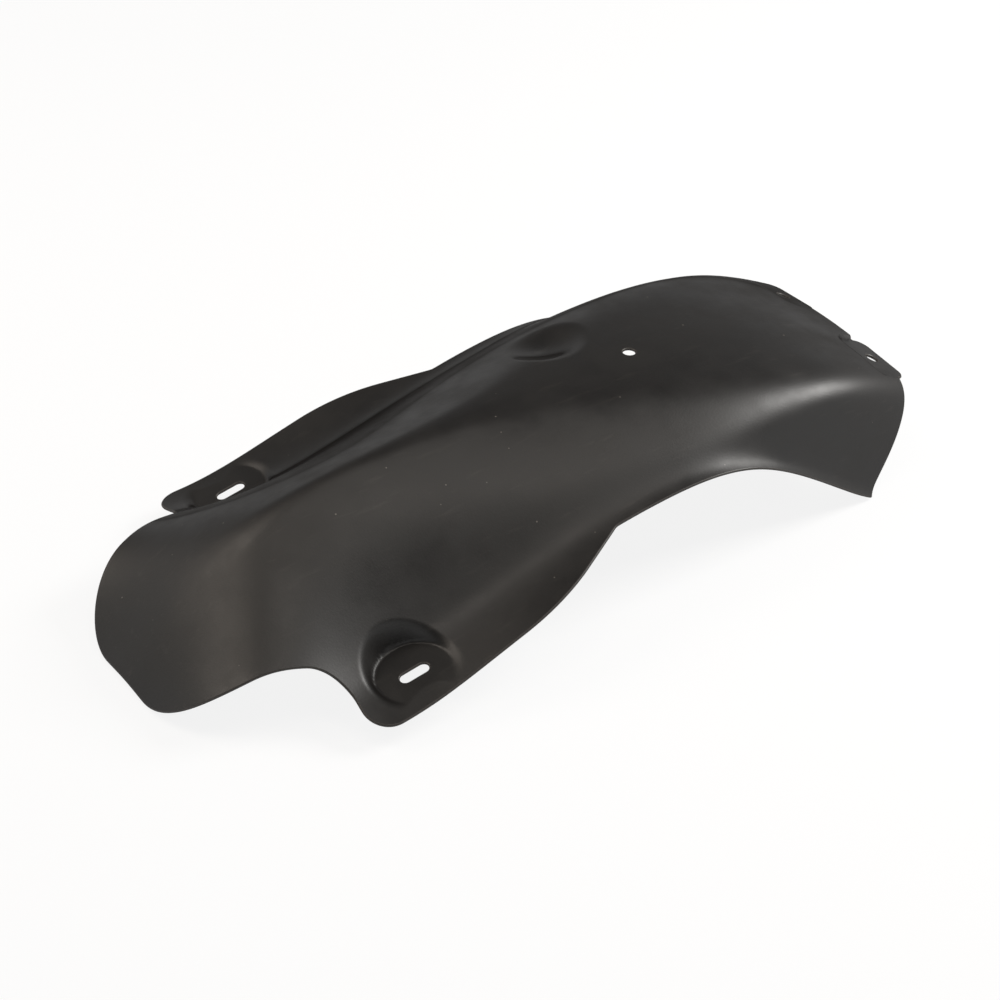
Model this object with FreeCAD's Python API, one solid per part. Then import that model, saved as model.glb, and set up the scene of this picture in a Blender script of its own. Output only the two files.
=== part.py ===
"""Rear inner fender of a motorcycle, moulded as one thin sheet.

A round tunnel runs up from a tongue at the low end, spreads two flared wings at its foot and
turns into a flat-topped saddle with steep walls. Each wing has a flat recessed pad with a slot.
The saddle has a centre hole, a ball-shaped dimple on one shoulder, an arched lip along each wall
and two inclined ears with holes at its rolled end.

Millimetres. X runs from the tongue to the saddle, Y to the dimple's side, Z up. Sections and
features are placed by their distance from the tongue's tip, and the finished part is moved so
that the middle of its base lies at the origin.
"""

import FreeCAD, Part
import math
import os
from collections import namedtuple

Vector = FreeCAD.Vector

# The sheet: its thickness, the fall of the roof from the crown to the shoulders, the rounding
# where the walls meet the flange, and how far the untrimmed flange reaches
WALL = 1.6
CROWN_SAG = 3.5
FOOT_ROUNDING = 9.0
FLANGE_REACH = 165.0

# End of the saddle seen from the side: a bowed edge from the lower corner up to the roof, the
# corner and the bow set back from its top, and how far the untrimmed sheet runs past it
END_X = 449.0
END_HEIGHT = 48.0
END_BOW_SETBACK = 17.0
END_BOW_HEIGHT = 23.0
CORNER_SETBACK = 45.0
CORNER_HEIGHT = 0.0
END_OVERRUN = 31.0

# Sections across the fender, each at a distance x from the tongue's tip: height of the crown,
# half width and rounding of the shoulders, half width and height of the foot of the walls, and
# the fall of the flange for each millimetre outwards
Section = namedtuple("Section", "x crown shoulder rounding foot foot_height fall")
SECTIONS = (
    Section(x=-30, crown=-40, shoulder=62, rounding=24, foot=139.5, foot_height=44, fall=0.85),
    Section(x=30, crown=44, shoulder=42.5, rounding=24, foot=107, foot_height=25.5, fall=0.53),
    Section(x=90, crown=75, shoulder=23.5, rounding=19, foot=84.5, foot_height=10, fall=0.14),
    Section(x=150, crown=82.5, shoulder=23.5, rounding=20, foot=78, foot_height=23.5, fall=-0.07),
    Section(x=210, crown=84.5, shoulder=35, rounding=24, foot=80, foot_height=41.5, fall=-0.12),
    Section(x=270, crown=86, shoulder=51.5, rounding=20, foot=79.5, foot_height=55.5, fall=-0.07),
    Section(x=330, crown=84.5, shoulder=69.5, rounding=13, foot=83.5, foot_height=57.5, fall=0.12),
    Section(x=390, crown=77, shoulder=75.5, rounding=11, foot=84.5, foot_height=7, fall=0.36),
    Section(x=430, crown=64.5, shoulder=72.5, rounding=11, foot=83, foot_height=-17, fall=0.45),
    Section(
        x=END_X + END_OVERRUN, crown=37, shoulder=60.5, rounding=11, foot=83, foot_height=-9.5, fall=0.37
    ),
)
DEGREE = 3

# Outline in plan: a rounded tongue, a notch, the wing and the waist where it ends
TONGUE_TIP_X = 4.0
TONGUE_CORNER_HALF_WIDTH = 55.5
TONGUE_CORNER_RADIUS = 48.0
NOTCH_X = 83.0
NOTCH_HALF_WIDTH = 76.5
NOTCH_RADIUS = 20.5
WING_CORNER_X = 80.5
WING_CORNER_HALF_WIDTH = 113.0
WING_CORNER_RADIUS = 13.0
WING_BEND_X = 192.5
WING_BEND_HALF_WIDTH = 107.5
WING_BEND_RADIUS = 118.0
WAIST_X = 240.0
WAIST_HALF_WIDTH = 84.5
WAIST_RADIUS = 6.0
LIP_HALF_WIDTH = 90.0

# Wing pads and their slots: each pad runs inwards and downwards from the level of the wing
# outside its slot, at a tilt in degrees, so it is sunk on the tunnel's side only
SLOT_X = 116.0
SLOT_HALF_SPACING = 90.0
SLOT_WIDTH = 7.0
SLOT_LENGTH = 17.0
PAD_RADIUS = 20.0
PAD_LEVEL_HALF_SPACING = 101.0
PAD_TILT = 6.0

# Dimple in one shoulder
DIMPLE_X = 281.0
DIMPLE_Y = 36.0
DIMPLE_BALL_RADIUS = 30.0
DIMPLE_DEPTH = 8.0
DIMPLE_RIM_RADIUS = 6.0

# Hole on the centre line of the roof
HOLE_X = 309.0
HOLE_DIAMETER = 7.4

# Sunk ears at the rolled end, with a margin of sunk sheet round them, and a hole in each
EAR_SETBACK = 2.0
EAR_HALF_SPACING = 38.5
EAR_WIDTH = 38.0
EAR_LENGTH = 20.0
EAR_CORNER_RADIUS = 7.0
EAR_MARGIN = 1.5
EAR_DEPTH = 2.0
EAR_HOLE_DIAMETER = 8.0

# How far tools for the whole fender and for one feature reach past the sheet
CLEAR = 300.0
REACH = 60.0

# How fine the facets are on which the finished part's box is measured
FACET_ERROR = 0.05


def toward(start, end, distance):
    """The point at a distance from start on the way to end."""
    return start + (end - start).normalize() * distance


def section_poles(section):
    """Control points of one section, from one flange over the crown to the other."""
    crown = Vector(section.x, 0, section.crown)
    shoulder = Vector(section.x, section.shoulder, section.crown - CROWN_SAG)
    foot = Vector(section.x, section.foot, section.foot_height)
    flange_fall = section.fall * (FLANGE_REACH - section.foot)
    flange = Vector(section.x, FLANGE_REACH, section.foot_height - flange_fall)
    half = [
        toward(crown, shoulder, (section.shoulder - section.rounding) / 2),
        toward(shoulder, crown, section.rounding),
        toward(shoulder, foot, section.rounding),
        toward(foot, shoulder, FOOT_ROUNDING),
        toward(foot, flange, FOOT_ROUNDING),
        flange,
    ]
    mirrored = [Vector(p.x, -p.y, p.z) for p in reversed(half)]
    return mirrored + [crown] + half


def clamped_knots(count):
    """Multiplicities and knots of an even, clamped spline with this many control points."""
    spans = count - DEGREE
    mults = [DEGREE + 1] + [1] * (spans - 1) + [DEGREE + 1]
    return mults, [i / spans for i in range(spans + 1)]


def outer_skin():
    """The outer skin as one smooth surface over the sections, its normals pointing up."""
    poles = [section_poles(section) for section in SECTIONS]
    along, along_knots = clamped_knots(len(poles))
    across, across_knots = clamped_knots(len(poles[0]))
    skin = Part.BSplineSurface()
    skin.buildFromPolesMultsKnots(
        poles, along, across, along_knots, across_knots, False, False, DEGREE, DEGREE
    )
    return skin


def solid_below(skin):
    """The solid between a skin and its copy far below."""
    return skin.toShape().extrude(Vector(0, 0, -CLEAR))


def seat_on(skin, x, y):
    """Point and outward normal of a skin at a place in plan."""
    upright = Part.makeLine(Vector(x, y, -CLEAR), Vector(x, y, CLEAR))
    point = skin.toShape().section(upright).Vertexes[0].Point
    return point, skin.normal(*skin.parameter(point))


def rounded_path(corners):
    """Edges through corners (point, radius), with a tangent arc at each inner one."""
    edges = []
    last = corners[0][0]
    for (before, _), (corner, radius), (after, _) in zip(corners, corners[1:], corners[2:]):
        back = (before - corner).normalize()
        on = (after - corner).normalize()
        half_angle = back.getAngle(on) / 2
        start = corner + back * (radius / math.tan(half_angle))
        end = corner + on * (radius / math.tan(half_angle))
        middle = corner + (back + on).normalize() * (radius / math.sin(half_angle) - radius)
        if start.distanceToPoint(last) > Part.Precision.confusion():
            edges.append(Part.makeLine(last, start))
        edges.append(Part.Arc(start, middle, end).toShape())
        last = end
    if last.distanceToPoint(corners[-1][0]) > Part.Precision.confusion():
        edges.append(Part.makeLine(last, corners[-1][0]))
    return edges


def plan_outline():
    """Prism of the whole outline seen from above."""
    right = [
        (Vector(TONGUE_TIP_X, 0), 0),
        (Vector(TONGUE_TIP_X, TONGUE_CORNER_HALF_WIDTH), TONGUE_CORNER_RADIUS),
        (Vector(NOTCH_X, NOTCH_HALF_WIDTH), NOTCH_RADIUS),
        (Vector(WING_CORNER_X, WING_CORNER_HALF_WIDTH), WING_CORNER_RADIUS),
        (Vector(WING_BEND_X, WING_BEND_HALF_WIDTH), WING_BEND_RADIUS),
        (Vector(WAIST_X, WAIST_HALF_WIDTH), WAIST_RADIUS),
        (Vector(END_X + EAR_LENGTH, LIP_HALF_WIDTH), 0),
    ]
    left = [(Vector(p.x, -p.y), radius) for p, radius in reversed(right)]
    end = Part.makeLine(right[-1][0], left[0][0])
    wire = Part.Wire(rounded_path(right) + [end] + rounded_path(left))
    prism = Part.Face(wire).extrude(Vector(0, 0, 2 * CLEAR))
    prism.translate(Vector(0, 0, -CLEAR))
    return prism


def end_cutter():
    """Block beyond the bowed end of the saddle, for the whole width."""
    corner = Vector(END_X - CORNER_SETBACK, -CLEAR, CORNER_HEIGHT)
    bow = Vector(END_X - END_BOW_SETBACK, -CLEAR, END_BOW_HEIGHT)
    top = Vector(END_X, -CLEAR, END_HEIGHT)
    below = Vector(corner.x, -CLEAR, -CLEAR)
    far = END_X + CLEAR
    edges = [
        Part.makeLine(below, corner),
        Part.Arc(corner, bow, top).toShape(),
        Part.makeLine(top, Vector(END_X, -CLEAR, CLEAR)),
        Part.makeLine(Vector(END_X, -CLEAR, CLEAR), Vector(far, -CLEAR, CLEAR)),
        Part.makeLine(Vector(far, -CLEAR, CLEAR), Vector(far, -CLEAR, -CLEAR)),
        Part.makeLine(Vector(far, -CLEAR, -CLEAR), below),
    ]
    return Part.Face(Part.Wire(edges)).extrude(Vector(0, 2 * CLEAR, 0))


def place_on(shape, point, normal):
    """Turn a shape's Z to a normal, keeping its X along the fender, and move it to a point."""
    across = normal.cross(Vector(1, 0, 0))
    turn = FreeCAD.Rotation(across.cross(normal), across, normal, "ZXY")
    shape.Placement = FreeCAD.Placement(point, turn)
    return shape


def plate(length, width, radius, base, height):
    """A plate along X with rounded corners, standing on a level in its own frame."""
    half_length = length / 2
    half_width = width / 2
    corners = [
        (Vector(0, -half_width, base), 0),
        (Vector(half_length, -half_width, base), radius),
        (Vector(half_length, half_width, base), radius),
        (Vector(-half_length, half_width, base), radius),
        (Vector(-half_length, -half_width, base), radius),
        (Vector(0, -half_width, base), 0),
    ]
    return Part.Face(Part.Wire(rounded_path(corners))).extrude(Vector(0, 0, height))


def pad_seat(skin, side):
    """Middle of a slot on the plane of its pad, and the plane's normal."""
    level, wing_normal = seat_on(skin, SLOT_X, side * PAD_LEVEL_HALF_SPACING)
    normal = FreeCAD.Rotation(Vector(1, 0, 0), side * PAD_TILT).multVec(wing_normal)
    inwards = side * (PAD_LEVEL_HALF_SPACING - SLOT_HALF_SPACING)
    return level + Vector(0, -inwards, inwards * normal.y / normal.z), normal


def pad_cutter(grown):
    """Round cutter of a wing pad in the pad's frame, grown by a wall for the inner side."""
    return Part.makeCylinder(PAD_RADIUS + grown, REACH, Vector(0, 0, -grown))


def ear_cutter(grown):
    """Cutter of an ear's recess in the ear's frame, grown by a wall for the inner side."""
    margin = EAR_MARGIN + grown
    return plate(
        EAR_LENGTH + 2 * margin,
        EAR_WIDTH + 2 * margin,
        EAR_CORNER_RADIUS + margin,
        -EAR_DEPTH - grown,
        REACH,
    )


def dimpled(solid, centre, radius, rim_radius):
    """A solid with a ball pressed into it and the rim of the dimple rounded."""
    pressed = solid.cut(Part.makeSphere(radius, centre, Vector(1, 0, 0)))
    hollow = next(face for face in pressed.Faces if isinstance(face.Surface, Part.Sphere))
    rim = max(hollow.Edges, key=lambda edge: edge.Length)
    return pressed.makeFillet(rim_radius, [rim])


def sheet(skin, pads, ears):
    """The formed sheet between the outer skin and its inner copy, trimmed to its outline."""
    outer = solid_below(skin)
    inner = solid_below(Part.OffsetSurface(skin, -WALL))
    for seat in pads:
        outer = outer.cut(place_on(pad_cutter(0), *seat))
        inner = inner.cut(place_on(pad_cutter(WALL), *seat))

    end = end_cutter()
    for seat in ears:
        outer = outer.cut(place_on(ear_cutter(0), *seat))
        inner = inner.cut(place_on(ear_cutter(WALL), *seat))
        ear = plate(EAR_LENGTH, EAR_WIDTH, EAR_CORNER_RADIUS, -REACH, 2 * REACH)
        end = end.cut(place_on(ear, *seat))

    dimple, normal = seat_on(skin, DIMPLE_X, DIMPLE_Y)
    ball = dimple + normal * (DIMPLE_BALL_RADIUS - DIMPLE_DEPTH)
    outer = dimpled(outer, ball, DIMPLE_BALL_RADIUS, DIMPLE_RIM_RADIUS)
    inner = dimpled(inner, ball, DIMPLE_BALL_RADIUS + WALL, DIMPLE_RIM_RADIUS - WALL)
    return outer.common(plan_outline()).cut(end).cut(inner)


def base_middle(shape):
    """Middle of the base of a shape's box."""
    box = FreeCAD.BoundBox()
    for point in shape.tessellate(FACET_ERROR)[0]:
        box.add(point)
    return Vector(box.Center.x, box.Center.y, box.ZMin)


def main():
    """Build the fender and write its file."""
    skin = outer_skin()
    sides = (-1, 1)
    pads = [pad_seat(skin, side) for side in sides]
    ears = [seat_on(skin, END_X - EAR_SETBACK, side * EAR_HALF_SPACING) for side in sides]
    fender = sheet(skin, pads, ears)

    # The slots follow the pads, and the holes of both ears share one direction
    for seat in pads:
        slot = plate(SLOT_LENGTH, SLOT_WIDTH, SLOT_WIDTH / 2, -REACH, 2 * REACH)
        fender = fender.cut(place_on(slot, *seat))
    for point, normal in ears:
        axis = Vector(normal.x, 0, normal.z).normalize()
        start = point - axis * REACH
        fender = fender.cut(Part.makeCylinder(EAR_HOLE_DIAMETER / 2, 2 * REACH, start, axis))
    hole = Part.makeCylinder(HOLE_DIAMETER / 2, 2 * CLEAR, Vector(HOLE_X, 0, -CLEAR))
    fender = fender.cut(hole).removeSplitter()

    fender.translate(-base_middle(fender))
    os.makedirs("parts", exist_ok=True)
    fender.exportStep("parts/inner_fender.step")


main()
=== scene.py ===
"""Studio scene of a motorcycle's rear inner fender, moulded as one thin black sheet.

The sheet is a smooth skin over ten sections, trimmed to its outline. Wing pads, ears and a dimple
are sunk into it, and slots and holes go through it. Sizes are millimetres from the tongue's tip,
X along the fender, Y to the dimple's side, Z up. The finished mesh is metres in the frame.
"""

import logging
import math
from dataclasses import dataclass, field
from enum import Enum

import bpy
import numpy as np
from mathutils import Matrix, Vector
from mathutils.geometry import delaunay_2d_cdt


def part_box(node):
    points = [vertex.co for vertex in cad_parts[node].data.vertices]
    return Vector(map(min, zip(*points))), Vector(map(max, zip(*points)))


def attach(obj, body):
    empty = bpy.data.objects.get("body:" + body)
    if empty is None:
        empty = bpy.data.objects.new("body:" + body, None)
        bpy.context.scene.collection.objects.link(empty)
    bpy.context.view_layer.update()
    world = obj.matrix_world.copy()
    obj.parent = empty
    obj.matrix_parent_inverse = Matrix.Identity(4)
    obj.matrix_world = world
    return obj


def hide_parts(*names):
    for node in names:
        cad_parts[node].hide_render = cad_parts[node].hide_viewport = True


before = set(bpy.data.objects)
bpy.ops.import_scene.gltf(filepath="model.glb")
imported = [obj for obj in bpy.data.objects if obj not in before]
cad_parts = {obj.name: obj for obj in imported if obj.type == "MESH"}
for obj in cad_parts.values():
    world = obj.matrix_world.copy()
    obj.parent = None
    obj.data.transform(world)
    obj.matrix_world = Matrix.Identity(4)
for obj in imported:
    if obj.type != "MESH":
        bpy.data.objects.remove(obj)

LOG = logging.getLogger("inner_fender")
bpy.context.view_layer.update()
MM = 0.001
DEGREE = 3
TINY = 1e-9

# Steps and repeats of the searches on the skin
SMALL_STEP = 1e-4
HALVINGS = 40
SEAT_PASSES = 16
LAST_CELL = 1.001

# Large arrays are worked in this many blocks, to spare memory
BLOCKS = 40

# The triangulation keeps what lies inside its edges and leaves the holes out
INSIDE_WITH_HOLES = 2


class Side(Enum):
    """The two sides of the fender, by the sign of Y."""

    RIGHT = -1
    LEFT = 1


def linear(code: str) -> tuple[float, float, float, float]:
    """An sRGB hex colour as linear red, green, blue and full alpha."""
    parts = [int(code[i:i + 2], 16) / 255 for i in (1, 3, 5)]
    return (*[p / 12.92 if p <= 0.04045 else ((p + 0.055) / 1.055) ** 2.4 for p in parts], 1.0)


def unit(vectors: np.ndarray) -> np.ndarray:
    """Vectors of length one in the same directions."""
    return vectors / np.linalg.norm(vectors, axis=-1, keepdims=True)


def toward(start: np.ndarray, end: np.ndarray, distance: np.ndarray) -> np.ndarray:
    """Points at given distances from the start points on the way to the end points."""
    return start + unit(end - start) * np.broadcast_to(distance, len(start))[:, None]


def spline_weights(count: int, t: np.ndarray) -> np.ndarray:
    """Weights of the control points of an even, clamped cubic spline.

    The recursion of Cox and de Boor raises the degree one at a time, for all parameters at once.

    Args:
        count: number of control points.
        t: parameters from 0 to 1.

    Returns:
        One row of weights for each parameter.
    """
    ends = np.zeros(DEGREE)
    knots = np.concatenate([ends, np.linspace(0, 1, count - DEGREE + 1), ends + 1])
    t = np.clip(t, 0, 1 - TINY)[:, None]
    weights = ((knots[:-1] <= t) & (t < knots[1:])).astype(float)
    for degree in range(1, DEGREE + 1):
        span = knots[degree:] - knots[:-degree]
        open_span = span > 0
        share = np.where(open_span, (t - knots[:-degree]) / np.where(open_span, span, 1), 0)
        rest = np.where(open_span, 1 - share, 0)
        weights = share[:, :-1] * weights[:, :-1] + rest[:, 1:] * weights[:, 1:]
    return weights


def rounded_path(corners: list[tuple[float, float, float]], step: float) -> np.ndarray:
    """Points along straight runs joined by tangent arcs.

    Args:
        corners: x, y and radius of each corner, the first and last with no radius.
        step: distance between points.

    Returns:
        Points of the path, evenly spaced.
    """
    pieces = [np.array(corners[0][:2])[None]]
    for before, (x, y, radius), after in zip(corners, corners[1:], corners[2:]):
        corner = np.array([x, y])
        back = unit(np.array(before[:2]) - corner)
        on = unit(np.array(after[:2]) - corner)
        half = math.acos(np.clip(back @ on, -1, 1)) / 2
        middle = corner + unit(back + on) * radius / math.sin(half)
        count = 2 + int(radius * math.pi / step)
        sweep = np.linspace(half - math.pi / 2, math.pi / 2 - half, count)[:, None]
        side = unit(back - on)
        pieces.append(middle - unit(back + on) * radius * np.cos(sweep) - side * radius * np.sin(sweep))
    pieces.append(np.array(corners[-1][:2])[None])
    return respaced(np.concatenate(pieces), step)


def respaced(points: np.ndarray, step: float) -> np.ndarray:
    """The same path with its points spread evenly, about a step apart.

    Args:
        points: points of the path.
        step: distance between points.

    Returns:
        The evenly spaced points.
    """
    length = np.concatenate([[0], np.cumsum(np.linalg.norm(np.diff(points, axis=0), axis=1))])
    even = np.linspace(0, length[-1], max(2, round(length[-1] / step) + 1))
    return np.stack([np.interp(even, length, points[:, i]) for i in range(points.shape[1])], axis=1)


def within(points: np.ndarray, loops: list[np.ndarray]) -> np.ndarray:
    """Whether points lie inside closed loops: a line from one crosses them an odd number of times.

    Args:
        points: places in a plane.
        loops: closed loops in that plane.

    Returns:
        True for each point inside.
    """
    starts = np.concatenate(loops)
    ends = np.concatenate([np.roll(loop, -1, axis=0) for loop in loops])
    odd = []
    for block in np.array_split(points, BLOCKS):
        x, y = block[:, :1], block[:, 1:]
        straddles = (starts[:, 1] > y) != (ends[:, 1] > y)
        rise = np.where(straddles, ends[:, 1] - starts[:, 1], 1)
        crossing = starts[:, 0] + (y - starts[:, 1]) / rise * (ends[:, 0] - starts[:, 0])
        odd.append((straddles & (x < crossing)).sum(axis=1) % 2 == 1)
    return np.concatenate(odd)


def gap_to(points: np.ndarray, loops: list[np.ndarray]) -> np.ndarray:
    """Distance from each point to the nearest point of the loops.

    Args:
        points: places in a plane.
        loops: loops in that plane.

    Returns:
        One distance for each point.
    """
    x, y = np.concatenate(loops).T
    blocks = np.array_split(points, BLOCKS)
    squares = [((block[:, :1] - x) ** 2 + (block[:, 1:] - y) ** 2).min(axis=1) for block in blocks]
    return np.sqrt(np.concatenate(squares))


@dataclass(frozen=True)
class Section:
    """One section across the fender, at a distance x from the tongue's tip."""

    x: float
    crown: float
    shoulder: float
    rounding: float
    foot: float
    foot_height: float
    fall: float


@dataclass(frozen=True)
class Seat:
    """Place of a feature on the skin: its point, and the directions along, across and out."""

    point: np.ndarray
    axes: np.ndarray

    def local(self, points: np.ndarray) -> np.ndarray:
        """Points as distances along, across and out of the seat."""
        return (points - self.point) @ self.axes.T


@dataclass(frozen=True)
class SunkPlate:
    """A flat rounded plate sunk into the skin, with a drafted wall round it."""

    seat: Seat
    length: float
    width: float
    corner: float
    depth: float
    draft: float

    def share(self, points: np.ndarray, grown: float) -> np.ndarray:
        """How far each point is taken by the plate: 1 on its floor, 0 beyond its wall.

        The share falls with the square of the way left to the end of the draft, so that the wall
        meets the floor in a crisp line and flows into the skin above.

        Args:
            points: points near the plate.
            grown: how far the inner skin lies under the outer one, 0 for the outer one.

        Returns:
            One share for each point.
        """
        size = np.array([self.length, self.width]) / 2 - self.corner
        past = np.abs(self.seat.local(points)[:, :2]) - size
        outside = np.linalg.norm(np.maximum(past, 0), axis=1) + np.minimum(past.max(axis=1), 0)
        return np.clip(1 - (outside - self.corner - grown) / self.draft, 0, 1) ** 2

    def form(self, points: np.ndarray, grown: float) -> np.ndarray:
        """Points with what stands above the plate's floor pressed down to it.

        Args:
            points: points of a skin.
            grown: how far the inner skin lies under the outer one, 0 for the outer one.

        Returns:
            The pressed points.
        """
        height = self.seat.local(points)[:, 2]
        above = np.maximum(height + self.depth + grown, 0)
        return points - (above * self.share(points, grown))[:, None] * self.seat.axes[2]

    def outline(self, step: float) -> np.ndarray:
        """Closed outline of the plate in its own plane, starting on its back edge.

        Args:
            step: distance between points.

        Returns:
            Places along and across the seat.
        """
        x, y, r = self.length / 2, self.width / 2, self.corner
        corners = [(-x, 0, 0), (-x, -y, r), (x, -y, r), (x, y, r), (-x, y, r), (-x, 0, 0)]
        return rounded_path(corners, step)[:-1]


@dataclass(frozen=True)
class Dimple:
    """A ball pressed into the skin, its rim rounded."""

    seat: Seat
    ball: float
    depth: float
    rim: float

    def form(self, points: np.ndarray, grown: float) -> np.ndarray:
        """Points lowered to the ball, by a smooth minimum of the skin's and the ball's heights.

        Args:
            points: points of a skin.
            grown: how far the inner skin lies under the outer one, 0 for the outer one.

        Returns:
            The lowered points.
        """
        local = self.seat.local(points)
        radius = self.ball + grown
        across = (local[:, :2] ** 2).sum(axis=1)
        ball = self.ball - self.depth - np.sqrt(np.maximum(radius ** 2 - across, 0))
        near = np.maximum(self.rim - np.abs(local[:, 2] - ball), 0)
        height = np.minimum(local[:, 2], ball) - near ** 2 / (4 * self.rim)
        return points + (height - local[:, 2])[:, None] * self.seat.axes[2]


def sections() -> tuple[Section, ...]:
    """Sections from the tongue's end to past the saddle's end."""
    return (
        Section(x=-30, crown=-40, shoulder=62, rounding=24, foot=139.5, foot_height=44, fall=0.85),
        Section(x=30, crown=44, shoulder=42.5, rounding=24, foot=107, foot_height=25.5, fall=0.53),
        Section(x=90, crown=75, shoulder=23.5, rounding=19, foot=84.5, foot_height=10, fall=0.14),
        Section(x=150, crown=82.5, shoulder=23.5, rounding=20, foot=78, foot_height=23.5, fall=-0.07),
        Section(x=210, crown=84.5, shoulder=35, rounding=24, foot=80, foot_height=41.5, fall=-0.12),
        Section(x=270, crown=86, shoulder=51.5, rounding=20, foot=79.5, foot_height=55.5, fall=-0.07),
        Section(x=330, crown=84.5, shoulder=69.5, rounding=13, foot=83.5, foot_height=57.5, fall=0.12),
        Section(x=390, crown=77, shoulder=75.5, rounding=11, foot=84.5, foot_height=7, fall=0.36),
        Section(x=430, crown=64.5, shoulder=72.5, rounding=11, foot=83, foot_height=-17, fall=0.45),
        Section(x=480, crown=37, shoulder=60.5, rounding=11, foot=83, foot_height=-9.5, fall=0.37),
    )


@dataclass
class Skin:
    """The untrimmed outer skin, a cubic spline surface of u along and v across the fender."""

    sections: tuple[Section, ...] = field(default_factory=sections)
    crown_sag: float = 3.5
    foot_rounding: float = 9.0
    flange_reach: float = 165.0
    samples: int = 4001
    chart_step: float = 1.0
    chart_start: float = 0.0
    chart_end: float = 470.0
    chart_columns: int = 1201

    def __post_init__(self) -> None:
        """Works out the control points and the chart of the unrolled skin."""
        self.along = np.array([s.x for s in self.sections], dtype=float)
        self.net = self.control_net()
        self.u_samples = np.linspace(0, 1, self.samples)
        self.x_samples = spline_weights(len(self.along), self.u_samples) @ self.along
        self.chart_x = np.arange(self.chart_start, self.chart_end, self.chart_step)
        self.chart_v = np.linspace(0, 1, self.chart_columns)
        self.chart = self.girths()

    def control_net(self) -> np.ndarray:
        """Heights and half widths of the control points: flange, foot, shoulder, crown and back.

        Returns:
            Control points by section and across the fender.
        """
        names = vars(self.sections[0])
        read = {name: np.array([getattr(s, name) for s in self.sections], float) for name in names}
        reach = np.full(len(self.sections), self.flange_reach)
        crown = np.stack([0 * reach, read["crown"]], axis=1)
        shoulder = np.stack([read["shoulder"], read["crown"] - self.crown_sag], axis=1)
        foot = np.stack([read["foot"], read["foot_height"]], axis=1)
        drop = read["fall"] * (reach - read["foot"])
        flange = np.stack([reach, read["foot_height"] - drop], axis=1)
        half = np.stack([
            toward(crown, shoulder, (read["shoulder"] - read["rounding"]) / 2),
            toward(shoulder, crown, read["rounding"]),
            toward(shoulder, foot, read["rounding"]),
            toward(foot, shoulder, self.foot_rounding),
            toward(foot, flange, self.foot_rounding),
            flange,
        ], axis=1)
        return np.concatenate([half[:, ::-1] * [-1, 1], crown[:, None], half], axis=1)

    def at(self, u: np.ndarray, v: np.ndarray) -> np.ndarray:
        """Points of the skin: control points weighted by the splines of u and v.

        Args:
            u: parameters along the fender.
            v: parameters across it.

        Returns:
            One point for each pair.
        """
        along = spline_weights(len(self.along), u)
        across = spline_weights(self.net.shape[1], v)
        flat = np.einsum("ni,ijk,nj->nk", along, self.net, across, optimize=True)
        return np.column_stack([along @ self.along, flat])

    def normals(self, u: np.ndarray, v: np.ndarray) -> np.ndarray:
        """Outward directions: the cross product of small steps in u and in v.

        Args:
            u: parameters along the fender.
            v: parameters across it.

        Returns:
            One direction for each pair.
        """
        by_u = self.at(u + SMALL_STEP, v) - self.at(u - SMALL_STEP, v)
        by_v = self.at(u, v + SMALL_STEP) - self.at(u, v - SMALL_STEP)
        return unit(np.cross(by_u, by_v))

    def u_at(self, x: np.ndarray) -> np.ndarray:
        """The parameter u at distances from the tip."""
        return np.interp(x, self.x_samples, self.u_samples)

    def v_at(self, u: np.ndarray, y: np.ndarray) -> np.ndarray:
        """The parameter v at a half width, found by halving the span that holds it.

        Args:
            u: parameters along the fender.
            y: half widths to reach.

        Returns:
            The parameters across it.
        """
        low, high = np.zeros(len(u)), np.ones(len(u))
        for _ in range(HALVINGS):
            middle = (low + high) / 2
            short = self.at(u, middle)[:, 1] < y
            low, high = np.where(short, middle, low), np.where(short, high, middle)
        return (low + high) / 2

    def plan(self, xy: np.ndarray) -> np.ndarray:
        """Parameters u and v of places in plan."""
        u = self.u_at(xy[:, 0])
        return np.column_stack([u, self.v_at(u, xy[:, 1])])

    def seat(self, x: float, y: float) -> Seat:
        """Seat at a place in plan, on the skin and square to it."""
        uv = self.plan(np.array([[x, y]]))
        return square_seat(self.at(*uv.T)[0], self.normals(*uv.T)[0])

    def on_seat(self, seat: Seat, flat: np.ndarray) -> np.ndarray:
        """Parameters of the skin's points that lie over places in a seat's plane.

        Each pass moves the place in plan by what the last one still missed.

        Args:
            seat: the seat.
            flat: places along and across the seat.

        Returns:
            Parameters u and v.
        """
        xy = (seat.point + flat @ seat.axes[:2])[:, :2]
        for _ in range(SEAT_PASSES):
            uv = self.plan(xy)
            missed = flat - seat.local(self.at(*uv.T))[:, :2]
            xy = xy + (missed @ seat.axes[:2])[:, :2]
        return uv

    def girths(self) -> np.ndarray:
        """Length of the way across the skin, from the crown, for a grid of x and v.

        Returns:
            Lengths by x and v, negative to the right.
        """
        along = spline_weights(len(self.along), self.u_at(self.chart_x))
        across = spline_weights(self.net.shape[1], self.chart_v)
        ways = np.einsum("ni,ijk,mj->nmk", along, self.net, across, optimize=True)
        steps = np.linalg.norm(np.diff(ways, axis=1), axis=2)
        length = np.concatenate([np.zeros((len(ways), 1)), np.cumsum(steps, axis=1)], axis=1)
        return length - length[:, [self.chart_columns // 2]]

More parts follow.
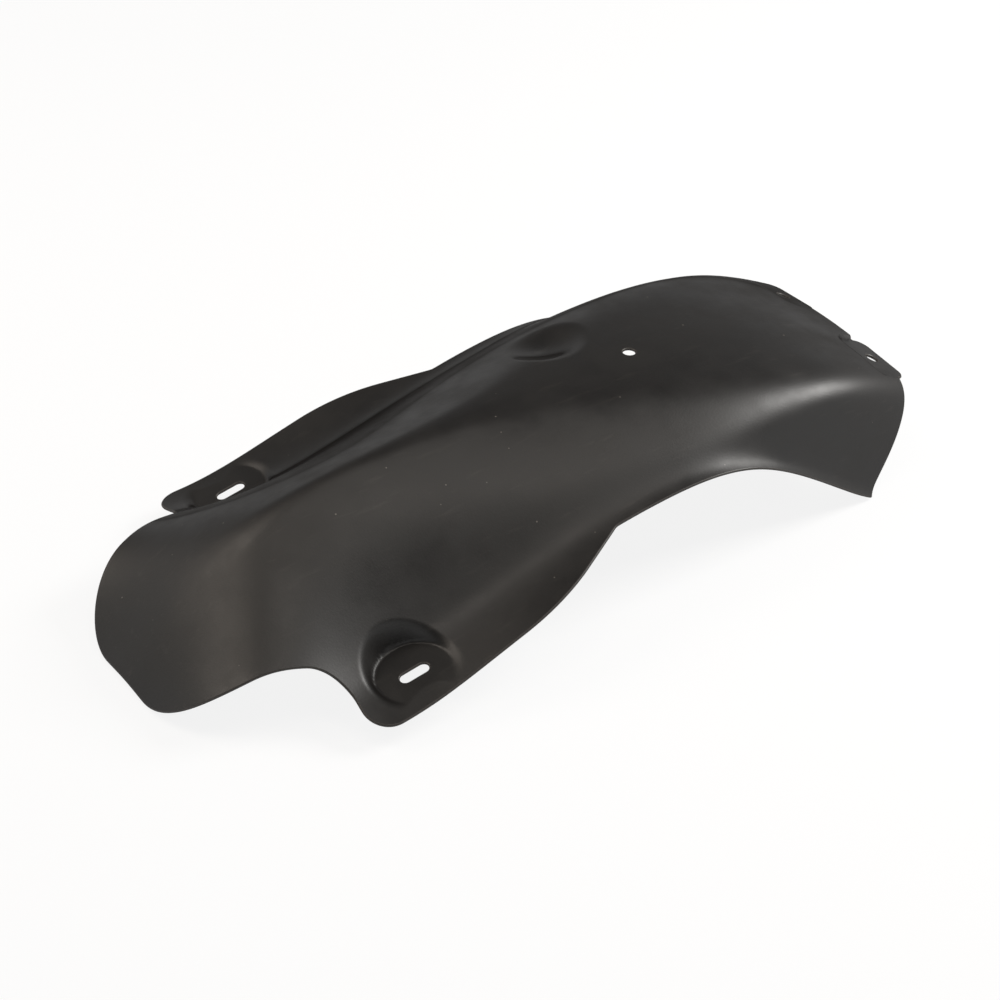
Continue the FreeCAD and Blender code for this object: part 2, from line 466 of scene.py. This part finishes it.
    def unrolled(self, uv: np.ndarray) -> np.ndarray:
        """Places on the unrolled skin, x by girth, read between the chart's four nearest values.

        Args:
            uv: parameters u and v.

        Returns:
            Distances from the tip and girths from the crown.
        """
        x = np.interp(uv[:, 0], self.u_samples, self.x_samples)
        row = np.clip((x - self.chart_start) / self.chart_step, 0, len(self.chart_x) - LAST_CELL)
        column = np.clip(uv[:, 1] * (self.chart_columns - 1), 0, self.chart_columns - LAST_CELL)
        i, j = row.astype(int), column.astype(int)
        a, b = row - i, column - j
        first = self.chart[i, j] * (1 - b) + self.chart[i, j + 1] * b
        second = self.chart[i + 1, j] * (1 - b) + self.chart[i + 1, j + 1] * b
        return np.column_stack([x, first * (1 - a) + second * a])

    def grid(self, reach: float) -> np.ndarray:
        """Parameters of an even grid on the unrolled skin, one chart step apart.

        Args:
            reach: greatest girth from the crown.

        Returns:
            Parameters u and v.
        """
        girth = np.arange(-reach, reach + self.chart_step, self.chart_step)
        v = np.stack([np.interp(girth, row, self.chart_v) for row in self.chart])
        u = np.broadcast_to(self.u_at(self.chart_x)[:, None], v.shape)
        return np.column_stack([u.ravel(), v.ravel()])


def square_seat(point: np.ndarray, out: np.ndarray) -> Seat:
    """Seat at a point, with its first axis along the fender."""
    across = unit(np.cross(out, [1.0, 0.0, 0.0]))
    return Seat(point, np.stack([np.cross(across, out), across, out]))


def add_node(
    tree: bpy.types.NodeTree, kind: str, inputs: dict | None = None, **settings: object
) -> bpy.types.Node:
    """Adds one node with its settings and its inputs.

    Args:
        tree: the node tree.
        kind: the node's type.
        inputs: an output to link or a value to set, for each input by its name or number.
        settings: the node's own properties.

    Returns:
        The new node.
    """
    node = tree.nodes.new(kind)
    for name, value in settings.items():
        setattr(node, name, value)
    for key, value in (inputs or {}).items():
        by_name = (s for s in node.inputs if s.name == key and s.enabled)
        socket = node.inputs[key] if isinstance(key, int) else next(by_name)
        if isinstance(value, bpy.types.NodeSocket):
            tree.links.new(value, socket)
        else:
            socket.default_value = value
    return node


@dataclass(frozen=True)
class MouldedPolypropylene:
    """Black polypropylene, injection moulded in a fine-eroded tool.

    The eroded tool leaves a close satin grain, which spreads a lamp's reflection into a broad soft
    sheen and shades itself at low angles, so the gloss fades there. Flow and shrinkage leave faint
    cloudy patches and ripples, and handling leaves scuffs along the fender and specks of dust. The
    grain and the specks are drawn coarser than the real ones, so that they show.
    """

    dark: str = "#100f0f"
    pale: str = "#1c1a18"
    dust: str = "#6a655f"
    # Paler grey for scuffs, and for the edge, where it is partly trim whitening and partly a painted
    # highlight
    scuff_and_edge_highlight: str = "#34312e"
    fine_share: float = 0.6

    grain_mm: float = 1.1
    grain_depth_mm: float = 0.09
    grain_strength: float = 0.4
    ripple_mm: float = 26.0
    ripple_depth_mm: float = 0.4
    ripple_strength: float = 0.25

    cloud_mm: float = 30.0
    cloud_span: tuple[float, float] = (0.3, 0.7)
    scuff_mm: float = 5.0
    scuff_stretch: float = 8.0
    scuff_span: tuple[float, float] = (0.60, 0.80)
    scuff_share: float = 0.4
    speck_cell_mm: float = 9.0
    speck_rim: tuple[float, float] = (0.03, 0.06)
    speck_share: float = 0.8
    dusty_cells: tuple[float, float] = (0.60, 0.66)

    roughness: float = 0.45
    roughness_spread: float = 0.07
    gloss: float = 0.5
    low_gloss: float = 0.008
    fade_span: tuple[float, float] = (0.2, 0.8)
    ior: float = 1.49

    def material(self) -> bpy.types.Material:
        """The node material, on object coordinates and the edge attribute, which lightens the edge partly as
        trim whitening and partly as a painted highlight.

        Returns:
            The material.
        """
        made = bpy.data.materials.new("moulded_black_polypropylene")
        made.use_nodes = True
        tree = made.node_tree
        tree.nodes.clear()
        place = add_node(tree, "ShaderNodeTexCoord").outputs["Object"]
        cloud = add_node(tree, "ShaderNodeTexNoise", {
            "Vector": place, "Scale": 1 / (self.cloud_mm * MM), "Detail": 5.0, "Roughness": self.fine_share,
        }).outputs["Fac"]
        rough = add_node(tree, "ShaderNodeMapRange", {
            "Value": cloud, "From Min": self.cloud_span[0], "From Max": self.cloud_span[1],
            "To Min": self.roughness - self.roughness_spread,
            "To Max": self.roughness + self.roughness_spread,
        }).outputs["Result"]
        turned = add_node(tree, "ShaderNodeLayerWeight", {"Blend": 0.5}).outputs["Facing"]
        gloss = add_node(tree, "ShaderNodeMapRange", {
            "Value": turned, "From Min": self.fade_span[0], "From Max": self.fade_span[1],
            "To Min": self.gloss, "To Max": self.low_gloss,
        }).outputs["Result"]
        shader = add_node(tree, "ShaderNodeBsdfPrincipled", {
            "Base Color": self.colour(tree, place, cloud),
            "Roughness": rough,
            "IOR": self.ior,
            "Specular IOR Level": gloss,
            "Normal": self.relief(tree, place),
        })
        add_node(tree, "ShaderNodeOutputMaterial", {"Surface": shader.outputs["BSDF"]})
        return made

    def colour(
        self, tree: bpy.types.NodeTree, place: bpy.types.NodeSocket, cloud: bpy.types.NodeSocket
    ) -> bpy.types.NodeSocket:
        """Cloudy black with paler scuffs, specks of dust in some cells, and a paler edge that is partly trim
        whitening and partly a painted highlight.

        Args:
            tree: the material's node tree.
            place: object coordinates.
            cloud: cloudy patches, from 0 to 1.

        Returns:
            The colour.
        """
        along = add_node(tree, "ShaderNodeMapping", {
            "Vector": place, "Scale": (1 / self.scuff_stretch, 1.0, 1.0),
        }).outputs["Vector"]
        streaks = add_node(tree, "ShaderNodeTexNoise", {
            "Vector": along, "Scale": 1 / (self.scuff_mm * MM), "Detail": 4.0, "Roughness": self.fine_share,
        }).outputs["Fac"]
        scuff = add_node(tree, "ShaderNodeMapRange", {
            "Value": streaks, "From Min": self.scuff_span[0], "From Max": self.scuff_span[1],
            "To Min": 0.0, "To Max": self.scuff_share,
        }).outputs["Result"]
        cells = add_node(tree, "ShaderNodeTexVoronoi", {
            "Vector": place, "Scale": 1 / (self.speck_cell_mm * MM),
        }).outputs
        dot = add_node(tree, "ShaderNodeMapRange", {
            "Value": cells["Distance"], "From Min": self.speck_rim[0], "From Max": self.speck_rim[1],
            "To Min": self.speck_share, "To Max": 0.0,
        }).outputs["Result"]
        dusty = add_node(tree, "ShaderNodeMapRange", {
            "Value": cells["Color"], "From Min": self.dusty_cells[0], "From Max": self.dusty_cells[1],
        }).outputs["Result"]
        speck = add_node(tree, "ShaderNodeMath", {0: dot, 1: dusty}, operation="MULTIPLY").outputs["Value"]
        # Rims and edge rows turn paler: partly trim whitening, partly a painted highlight along the sheet's
        # edges
        edge = add_node(tree, "ShaderNodeAttribute", attribute_name="edge").outputs["Fac"]
        colour = linear(self.dark)
        layers = ((cloud, self.pale), (scuff, self.scuff_and_edge_highlight), (speck, self.dust), (edge, self.scuff_and_edge_highlight))
        for share, over in layers:
            mix = {"Factor": share, "A": colour, "B": linear(over)}
            colour = add_node(tree, "ShaderNodeMix", mix, data_type="RGBA").outputs["Result"]
        return colour

    def relief(self, tree: bpy.types.NodeTree, place: bpy.types.NodeSocket) -> bpy.types.NodeSocket:
        """Normals bent by broad ripples and by the close grain.

        Args:
            tree: the material's node tree.
            place: object coordinates.

        Returns:
            The bent normals.
        """
        ripple = add_node(tree, "ShaderNodeTexNoise", {
            "Vector": place, "Scale": 1 / (self.ripple_mm * MM), "Detail": 1.0, "Roughness": self.fine_share,
        }).outputs["Fac"]
        grain = add_node(tree, "ShaderNodeTexNoise", {
            "Vector": place, "Scale": 1 / (self.grain_mm * MM), "Detail": 2.0, "Roughness": self.fine_share,
        }).outputs["Fac"]
        wavy = add_node(tree, "ShaderNodeBump", {
            "Height": ripple, "Strength": self.ripple_strength, "Distance": self.ripple_depth_mm * MM,
        }).outputs["Normal"]
        return add_node(tree, "ShaderNodeBump", {
            "Height": grain, "Strength": self.grain_strength, "Distance": self.grain_depth_mm * MM,
            "Normal": wavy,
        }).outputs["Normal"]


@dataclass(frozen=True)
class MattWhitePaint:
    """Matt white paint on the studio's cove, rolled on, so that it has no gloss at all.

    It keeps a share of real light and shadow and is plain white for the rest, to rays from the eye,
    straight, mirrored or through glass.
    """

    colour: str = "#f4f4f4"
    white_share: float = 0.87

    def material(self) -> bpy.types.Material:
        """The node material: painted light mixed with plain white.

        Returns:
            The material.
        """
        made = bpy.data.materials.new("matt_white_paint")
        made.use_nodes = True
        tree = made.node_tree
        tree.nodes.clear()
        rays = add_node(tree, "ShaderNodeLightPath").outputs
        seen = rays["Is Camera Ray"]
        for name in ("Is Glossy Ray", "Is Transmission Ray"):
            either = add_node(tree, "ShaderNodeMath", {0: seen, 1: rays[name]}, operation="MAXIMUM")
            seen = either.outputs["Value"]
        share = add_node(tree, "ShaderNodeMapRange", {"Value": seen, "To Max": self.white_share})
        paint = add_node(tree, "ShaderNodeBsdfDiffuse", {"Color": linear(self.colour)})
        white = add_node(tree, "ShaderNodeEmission", {"Strength": 1.0})
        both = add_node(tree, "ShaderNodeMixShader", {
            "Fac": share.outputs["Result"], 1: paint.outputs["BSDF"], 2: white.outputs["Emission"],
        })
        add_node(tree, "ShaderNodeOutputMaterial", {"Surface": both.outputs["Shader"]})
        return made


@dataclass
class FenderSheet:
    """The whole fender: the trimmed skin, its features and its thickness."""

    finish: MouldedPolypropylene = field(default_factory=MouldedPolypropylene)
    skin: Skin = field(default_factory=Skin)
    wall: float = 1.6
    edge_round: float = 0.45
    edge_rings: int = 4
    loop_step: float = 1.0
    grid_every: int = 2
    grid_reach: float = 190.0
    support_rows: tuple[float, ...] = (0.45, 1.1)
    support_clear: float = 0.8
    grid_margin: float = 1.7
    fine_margin: float = 3.0

    tongue_tip_x: float = 4.0
    tongue_corner: tuple[float, float] = (55.5, 48.0)
    notch: tuple[float, float, float] = (83.0, 76.5, 20.5)
    wing_corner: tuple[float, float, float] = (80.5, 113.0, 13.0)
    wing_bend: tuple[float, float, float] = (192.5, 107.5, 118.0)
    waist: tuple[float, float, float] = (240.0, 84.5, 6.0)
    lip_half_width: float = 90.0

    corner: tuple[float, float] = (404.0, 0.0)
    end_bow: tuple[float, float] = (432.0, 23.0)
    end: tuple[float, float] = (449.0, 48.0)
    end_search: float = 40.0

    slot_x: float = 116.0
    slot_half_spacing: float = 90.0
    slot_size: tuple[float, float] = (17.0, 7.0)
    pad_radius: float = 20.0
    pad_level_half_spacing: float = 101.0
    pad_tilt: float = 6.0
    pad_draft: float = 5.5

    # Shallower and rounder than in the solid, because the photograph shows the dimple's near wall
    dimple_place: tuple[float, float] = (281.0, 36.0)
    dimple_ball: float = 30.0
    dimple_depth: float = 6.0
    dimple_rim: float = 8.0

    hole_x: float = 309.0
    hole_diameter: float = 7.4

    ear_setback: float = 2.0
    ear_half_spacing: float = 38.5
    ear_size: tuple[float, float] = (20.0, 38.0)
    ear_corner: float = 7.0
    ear_margin: float = 1.5
    ear_depth: float = 2.0
    ear_draft: float = 2.0
    ear_hole_diameter: float = 8.0

    def __post_init__(self) -> None:
        """Seats the features on the skin."""
        self.pads = [self.pad(side) for side in Side]
        self.ears = [self.ear(side) for side in Side]
        seat = self.skin.seat(*self.dimple_place)
        self.dimple = Dimple(seat, self.dimple_ball, self.dimple_depth, self.dimple_rim)

    def pad(self, side: Side) -> SunkPlate:
        """Round wing pad, level with the wing outside its slot and tilted down inwards.

        Args:
            side: side of the fender.

        Returns:
            The pad's plate.
        """
        level = self.skin.seat(self.slot_x, side.value * self.pad_level_half_spacing)
        angle = side.value * math.radians(self.pad_tilt)
        cosine, sine = math.cos(angle), math.sin(angle)
        x, y, z = level.axes[2]
        tilted = np.array([x, y * cosine - z * sine, y * sine + z * cosine])
        inwards = side.value * (self.pad_level_half_spacing - self.slot_half_spacing)
        point = level.point + np.array([0, -inwards, inwards * tilted[1] / tilted[2]])
        size = 2 * self.pad_radius
        return SunkPlate(square_seat(point, tilted), size, size, self.pad_radius, 0, self.pad_draft)

    def ear(self, side: Side) -> SunkPlate:
        """Sunk ear at the rolled end, with its margin of sunk sheet.

        Args:
            side: side of the fender.

        Returns:
            The ear's plate.
        """
        seat = self.skin.seat(self.end[0] - self.ear_setback, side.value * self.ear_half_spacing)
        length, width = (size + 2 * self.ear_margin for size in self.ear_size)
        corner = self.ear_corner + self.ear_margin
        return SunkPlate(seat, length, width, corner, self.ear_depth, self.ear_draft)

    def formed(self, points: np.ndarray, grown: float) -> np.ndarray:
        """Points of the outer skin, or of the inner one grown by a wall, with the features in it.

        Args:
            points: points of the plain skin.
            grown: how far the inner skin lies under the outer one, 0 for the outer one.

        Returns:
            The formed points.
        """
        for feature in (*self.pads, *self.ears, self.dimple):
            points = feature.form(points, grown)
        return points

    def end_x(self, height: np.ndarray) -> np.ndarray:
        """Where the end's edge stands at a height: an arc through three points, upright above it.

        Args:
            height: heights on the fender.

        Returns:
            The distance from the tip at each height.
        """
        (x0, z0), (x1, z1), (x2, z2) = self.corner, self.end_bow, self.end
        rows = 2 * np.array([[x1 - x0, z1 - z0], [x2 - x0, z2 - z0]])
        sums = np.array([x1 ** 2 - x0 ** 2 + z1 ** 2 - z0 ** 2, x2 ** 2 - x0 ** 2 + z2 ** 2 - z0 ** 2])
        x, z = np.linalg.solve(rows, sums)
        radius = math.hypot(x0 - x, z0 - z)
        return x + np.sqrt(radius ** 2 - (np.clip(height, z0, z2) - z) ** 2)

    def end_u(self, v: np.ndarray) -> np.ndarray:
        """The parameter u at which each line of v meets the end's edge, by halving.

        Args:
            v: parameters across the fender.

        Returns:
            The parameters along it.
        """
        low = self.skin.u_at(np.full(len(v), self.corner[0] - self.end_search))
        high = np.ones(len(v))
        for _ in range(HALVINGS):
            middle = (low + high) / 2
            point = self.skin.at(middle, v)
            inside = point[:, 0] < self.end_x(point[:, 2])
            low, high = np.where(inside, middle, low), np.where(inside, high, middle)
        return (low + high) / 2

    def side_path(self) -> np.ndarray:
        """Left half of the outline up to the saddle's lower corner, as u and v.

        Returns:
            Parameters u and v from the tip to the corner.
        """
        corners = [
            (self.tongue_tip_x, 0, 0),
            (self.tongue_tip_x, *self.tongue_corner),
            self.notch,
            self.wing_corner,
            self.wing_bend,
            self.waist,
            (self.end[0] + self.ear_size[0], self.lip_half_width, 0),
        ]
        uv = self.skin.plan(rounded_path(corners, self.loop_step))
        point = self.skin.at(*uv.T)
        return uv[point[:, 0] < self.end_x(point[:, 2]) - self.loop_step / 2]

    def end_path(self, v_corner: float) -> np.ndarray:
        """The end's edge from the left corner to the right one, round both ears, as u and v.

        Args:
            v_corner: the parameter v of the left corner.

        Returns:
            Parameters u and v along the edge.
        """
        row = self.skin.chart[round((self.end_bow[0] - self.skin.chart_start) / self.skin.chart_step)]
        reach = np.interp(v_corner, self.skin.chart_v, row)
        girth = np.linspace(reach, -reach, round(2 * reach / self.loop_step))
        v = np.interp(girth, row, self.skin.chart_v)
        path = np.column_stack([self.end_u(v), v])
        for ear in reversed(self.ears):
            length, width = self.ear_size
            tab = SunkPlate(ear.seat, length, width, self.ear_corner, 0, 1)
            inside = np.flatnonzero(tab.share(self.skin.at(*path.T), 0) >= 1)
            chain = self.skin.on_seat(ear.seat, tab.outline(self.loop_step / 2)[::-1])
            point = self.skin.at(*chain.T)
            chain = chain[point[:, 0] > self.end_x(point[:, 2]) + self.loop_step / 4]
            path = np.concatenate([path[:inside[0]], chain, path[inside[-1] + 1:]])
        return path

    def hole_loops(self) -> list[np.ndarray]:
        """Loops of the slots, the ears' holes and the roof's hole, as u and v.

        Returns:
            One loop for each opening.
        """
        loops = []
        for pad in self.pads:
            slot = SunkPlate(pad.seat, *self.slot_size, self.slot_size[1] / 2, 0, 1)
            loops.append(self.skin.on_seat(pad.seat, slot.outline(self.loop_step / 2)))
        roof = square_seat(self.skin.seat(self.hole_x, 0).point, np.array([0.0, 0.0, 1.0]))
        holes = [(ear.seat, self.ear_hole_diameter) for ear in self.ears] + [(roof, self.hole_diameter)]
        for seat, diameter in holes:
            turn = np.arange(0, 2 * math.pi, self.loop_step / diameter)
            ring = np.column_stack([np.cos(turn), np.sin(turn)]) * diameter / 2
            loops.append(self.skin.on_seat(seat, ring))
        return loops

    def loops(self) -> list[np.ndarray]:
        """All edges of the sheet as u and v, each with the sheet on its left.

        Returns:
            The outline, then the openings.
        """
        left = self.side_path()
        right = left[::-1] * [1, -1] + [0, 1]
        outer = np.concatenate([left, self.end_path(left[-1, 1]), right[:-1]])
        turned = []
        for index, loop in enumerate([outer, *self.hole_loops()]):
            x, y = self.skin.unrolled(loop).T
            area = (x * np.roll(y, -1) - np.roll(x, -1) * y).sum()
            wanted = 1 if index == 0 else -1
            turned.append(loop if area * wanted > 0 else loop[::-1])
        return turned

    def inner_grid(self, flat_loops: list[np.ndarray]) -> np.ndarray:
        """Grid points inside the edges, closer together at the features, as u and v.

        Args:
            flat_loops: the edges on the unrolled skin.

        Returns:
            Parameters u and v.
        """
        uv = self.skin.grid(self.grid_reach)
        flat = self.skin.unrolled(uv)
        points = self.skin.at(*uv.T)
        close = np.linalg.norm(points - self.dimple.seat.point, axis=1) < self.dimple_ball
        for plate in (*self.pads, *self.ears):
            close |= plate.share(points, self.fine_margin) > 0
        even = np.round(flat / self.skin.chart_step).astype(int) % self.grid_every == 0
        keep = close | even.all(axis=1)
        uv, flat = uv[keep], flat[keep]

        inside = within(flat, flat_loops)
        uv, flat = uv[inside], flat[inside]
        return uv[gap_to(flat, flat_loops) > self.grid_margin]

    def build(self) -> bpy.types.Object:
        """The sheet's mesh, dressed and seated in the frame.

        Returns:
            The sheet's object.
        """
        loops = self.loops()
        counts = np.cumsum([0] + [len(loop) for loop in loops])
        uv, triangles = self.triangulated(loops, counts)
        base = self.skin.at(*uv.T)
        out = self.skin.normals(*uv.T)
        for plate in (*self.pads, *self.ears):
            share = plate.share(base, 0)[:, None]
            out = unit(out * (1 - share) + plate.seat.axes[2] * share)
        outer = self.formed(base, 0)
        inner = self.formed(base - out * self.wall, self.wall)
        points, faces, edge = self.thick(outer, inner, out, triangles, counts)
        mesh = self.mesh(points, faces, edge)
        made = bpy.data.objects.new("inner_fender_sheet", mesh)
        bpy.context.collection.objects.link(made)
        made.data.materials.append(self.finish.material())
        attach(made, "root")
        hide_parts("inner_fender")
        return made

    def triangulated(self, loops: list[np.ndarray], counts: np.ndarray) -> tuple[np.ndarray, np.ndarray]:
        """Triangles between the sheet's edges, worked out on the unrolled skin.

        A triangle with all its corners on edges may span a hole or a bay, so it stays only where its
        middle lies on the sheet.

        Args:
            loops: the edges as u and v.
            counts: where each edge starts among all edge points, and their number.

        Returns:
            Parameters u and v of the points, those of the edges first, and the triangles.
        """
        flat_loops = [self.skin.unrolled(loop) for loop in loops]
        grid = self.inner_grid(flat_loops)
        support = self.support(flat_loops)
        flat = np.concatenate([*flat_loops, self.skin.unrolled(grid), support])
        edges = [
            (int(i), int(j))
            for first, last in zip(counts, counts[1:])
            for i, j in zip(range(first, last), np.roll(np.arange(first, last), -1))
        ]
        cut = delaunay_2d_cdt([Vector(p) for p in flat], edges, [], INSIDE_WITH_HOLES, TINY)
        triangles = np.array(cut[2])
        flat = np.array([tuple(p) for p in cut[0]])
        on_edge = (triangles < counts[-1]).all(axis=1)
        keep = ~on_edge
        keep[on_edge] = within(flat[triangles[on_edge]].mean(axis=1), flat_loops)
        uv = self.rolled(flat)
        uv[:counts[-1]] = np.concatenate(loops)
        return uv, triangles[keep]

    def rolled(self, flat: np.ndarray) -> np.ndarray:
        """Parameters of places on the unrolled skin, read between two rows of the chart.

        Args:
            flat: distances from the tip and girths from the crown.

        Returns:
            Parameters u and v.
        """
        u = self.skin.u_at(flat[:, 0])
        low, high = np.zeros(len(flat)), np.ones(len(flat))
        for _ in range(HALVINGS):
            middle = (low + high) / 2
            short = self.skin.unrolled(np.column_stack([u, middle]))[:, 1] < flat[:, 1]
            low, high = np.where(short, middle, low), np.where(short, high, middle)
        return np.column_stack([u, (low + high) / 2])

    def support(self, flat_loops: list[np.ndarray]) -> np.ndarray:
        """Rows of points just inside each edge, so that only a narrow band bends to the edge.

        Args:
            flat_loops: the edges on the unrolled skin.

        Returns:
            Places on the unrolled skin.
        """
        rows = []
        for loop in flat_loops:
            tangent = unit(np.roll(loop, -1, axis=0) - np.roll(loop, 1, axis=0))
            inwards = np.column_stack([-tangent[:, 1], tangent[:, 0]])
            for distance in self.support_rows:
                row = loop + inwards * distance
                rows.append(row[gap_to(row, [loop]) > self.support_clear * distance])
        return np.concatenate(rows)

    def thick(
        self, outer: np.ndarray, inner: np.ndarray, out: np.ndarray, triangles: np.ndarray, counts: np.ndarray
    ) -> tuple[np.ndarray, np.ndarray, np.ndarray]:
        """Points, triangles and edge shares of both skins and the rounded rims between them.

        A rim runs from the outer to the inner skin and swells outwards by half a sine wave.

        Args:
            outer: points of the outer skin.
            inner: points of the inner skin.
            out: outward directions.
            triangles: triangles of a skin.
            counts: where each edge starts among all edge points, and their number.

        Returns:
            Points, triangles and edge shares.
        """
        points = [outer, inner]
        faces = [triangles, triangles[:, ::-1] + len(outer)]
        edge = [np.zeros(len(outer)), np.zeros(len(inner))]
        edge[0][:counts[-1]] = edge[1][:counts[-1]] = 1
        total = 2 * len(outer)
        for first, last in zip(counts, counts[1:]):
            ring = np.arange(first, last)
            tangent = np.roll(outer[ring], -1, axis=0) - np.roll(outer[ring], 1, axis=0)
            away = unit(np.cross(tangent, out[ring]))
            share = np.arange(1, self.edge_rings) / self.edge_rings
            rows = outer[ring] + share[:, None, None] * (inner[ring] - outer[ring])
            rows = rows + self.edge_round * np.sin(math.pi * share)[:, None, None] * away
            ids = total + np.arange(rows.shape[0] * len(ring)).reshape(rows.shape[0], -1)
            ids = np.concatenate([ring[None], ids, ring[None] + len(outer)])
            a, b = ids[:-1], ids[1:]
            c, d = np.roll(b, -1, axis=1), np.roll(a, -1, axis=1)
            for corners in ((a, b, c), (a, c, d)):
                faces.append(np.stack(corners, axis=-1).reshape(-1, 3))
            points.append(rows.reshape(-1, 3))
            edge.append(np.ones(rows.shape[0] * len(ring)))
            total += rows.shape[0] * len(ring)
        return np.concatenate(points), np.concatenate(faces), np.concatenate(edge)

    def mesh(self, points: np.ndarray, faces: np.ndarray, edge: np.ndarray) -> bpy.types.Mesh:
        """A smooth mesh, moved so that its tip and crown meet those of the frame's box.

        Args:
            points: points in millimetres.
            faces: triangles.
            edge: 1 on the trimmed edge, 0 elsewhere.

        Returns:
            The mesh, in metres.
        """
        low, high = (np.array(corner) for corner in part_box("inner_fender"))
        points = points * MM
        middle = (low[1] + high[1]) / 2
        points = points + [low[0] - points[:, 0].min(), middle, high[2] - points[:, 2].max()]
        made = bpy.data.meshes.new("inner_fender_sheet")
        made.vertices.add(len(points))
        made.vertices.foreach_set("co", points.ravel())
        made.loops.add(3 * len(faces))
        made.loops.foreach_set("vertex_index", faces.ravel())
        made.polygons.add(len(faces))
        made.polygons.foreach_set("loop_start", np.arange(len(faces)) * 3)
        made.polygons.foreach_set("use_smooth", np.ones(len(faces), dtype=bool))
        made.update(calc_edges=True)
        made.attributes.new("edge", "FLOAT", "POINT").data.foreach_set("value", edge)
        return made


@dataclass(frozen=True)
class Softbox:
    """A softbox that faces the fender.

    Args:
        name: name of the lamp.
        direction: way from the fender to the lamp.
        along: way that the lamp's first side runs.
        distance: metres from the fender.
        size: metres along both sides.
        brightness: how bright its face looks, where 1 is white.
        tint: its colour.
    """

    name: str
    direction: tuple[float, float, float]
    along: tuple[float, float, float]
    distance: float
    size: tuple[float, float]
    brightness: float
    tint: str

    def place(self, target: Vector) -> None:
        """Hangs the lamp facing the target; its power is brightness times pi times area.

        Args:
            target: the fender's middle.
        """
        lamp = bpy.data.lights.new(self.name, "AREA")
        lamp.shape = "RECTANGLE"
        lamp.size, lamp.size_y = self.size
        lamp.energy = self.brightness * math.pi * self.size[0] * self.size[1]
        lamp.color = linear(self.tint)[:3]
        made = bpy.data.objects.new(self.name, lamp)
        out = Vector(self.direction).normalized()
        across = out.cross(Vector(self.along)).normalized()
        turn = Matrix((across.cross(out), across, out)).transposed()
        made.matrix_world = Matrix.Translation(target + out * self.distance) @ turn.to_4x4()
        bpy.context.collection.objects.link(made)


@dataclass(frozen=True)
class Studio:
    """White cove, soft lamps, dim room and the camera at the photograph's angle."""

    target: tuple[float, float, float] = (-0.00453, 0.0, 0.03933)
    azimuth: float = -34.06
    elevation: float = 35.96
    distance: float = 1.4446
    lens: float = 99.94
    sensor: float = 36.0
    shift: tuple[float, float] = (0.0035, -0.0275)
    floor_radius: float = 2.3
    sweep: float = 1.1
    sweep_rows: int = 17
    segments: int = 96
    paint: MattWhitePaint = MattWhitePaint()
    room: float = 0.15
    lamps: tuple[Softbox, ...] = (
        Softbox(
            name="back_left_softbox", direction=(-0.51, 0.53, 0.68), along=(0.72, 0.69, 0.0),
            distance=1.3, size=(0.6, 0.8), brightness=4.4, tint="#fff3e6",
        ),
        Softbox(
            name="overhead_softbox", direction=(0.02, -0.12, 0.99), along=(0.68, -0.74, 0.0),
            distance=1.3, size=(1.1, 0.4), brightness=2.9, tint="#fff6ec",
        ),
        Softbox(
            name="right_softbox", direction=(0.78, -0.20, 0.58), along=(-0.58, 0.0, 0.78),
            distance=1.3, size=(0.5, 0.5), brightness=21.0, tint="#fffdfa",
        ),
    )

    def build(self) -> None:
        """Sets the cove, lamps, room and camera."""
        target = Vector(self.target)
        for lamp in self.lamps:
            lamp.place(target)
        self.cove()
        self.world()
        self.camera(target)
        bpy.context.scene.view_settings.view_transform = "Standard"
        LOG.info("studio: cove, %d lamps, camera", len(self.lamps))

    def cove(self) -> None:
        """A round floor that sweeps up to a low backdrop: a quarter arc turned about the middle."""
        lift = np.linspace(0, math.pi / 2, self.sweep_rows)[:, None]
        turn = np.arange(self.segments) * 2 * math.pi / self.segments
        reach = self.floor_radius + self.sweep * np.sin(lift)
        height = np.broadcast_to(self.sweep * (1 - np.cos(lift)), (len(lift), self.segments))
        points = np.stack([reach * np.cos(turn), reach * np.sin(turn), height], axis=-1).reshape(-1, 3)
        ring = np.arange(self.segments)
        after = np.roll(ring, -1)
        band = np.stack([ring, ring + self.segments, after + self.segments, after], axis=-1)
        bands = [(band + i * self.segments).tolist() for i in range(len(lift) - 1)]
        mesh = bpy.data.meshes.new("studio_cove")
        mesh.from_pydata(points.tolist(), [], [ring.tolist()] + [quad for rows in bands for quad in rows])
        mesh.shade_smooth()
        made = bpy.data.objects.new("studio_cove", mesh)
        bpy.context.collection.objects.link(made)
        mesh.materials.append(self.paint.material())

    def world(self) -> None:
        """A dim room above the cove."""
        world = bpy.data.worlds.new("studio_room")
        bpy.context.scene.world = world
        world.use_nodes = True
        tree = world.node_tree
        tree.nodes.clear()
        room = add_node(tree, "ShaderNodeBackground", {"Color": linear("#ffffff"), "Strength": self.room})
        add_node(tree, "ShaderNodeOutputWorld", {"Surface": room.outputs["Background"]})

    def camera(self, target: Vector) -> None:
        """The camera at the photograph's angle and distance.

        Args:
            target: the fender's middle.
        """
        lens = bpy.data.cameras.new("photo_camera")
        lens.lens = self.lens
        lens.sensor_width = self.sensor
        lens.shift_x, lens.shift_y = self.shift
        made = bpy.data.objects.new("photo_camera", lens)
        a, e = math.radians(self.azimuth), math.radians(self.elevation)
        back = Vector((math.sin(a) * math.cos(e), -math.cos(a) * math.cos(e), math.sin(e)))
        made.location = target + back * self.distance
        made.rotation_euler = back.to_track_quat("Z", "Y").to_euler()
        bpy.context.collection.objects.link(made)
        bpy.context.scene.camera = made


def main() -> None:
    """Builds the fender and the studio."""
    sheet = FenderSheet().build()
    LOG.info("%s: %d triangles", sheet.name, len(sheet.data.polygons))
    Studio().build()


if __name__ == "__main__":
    logging.basicConfig(level=logging.INFO, format="%(message)s")
    main()
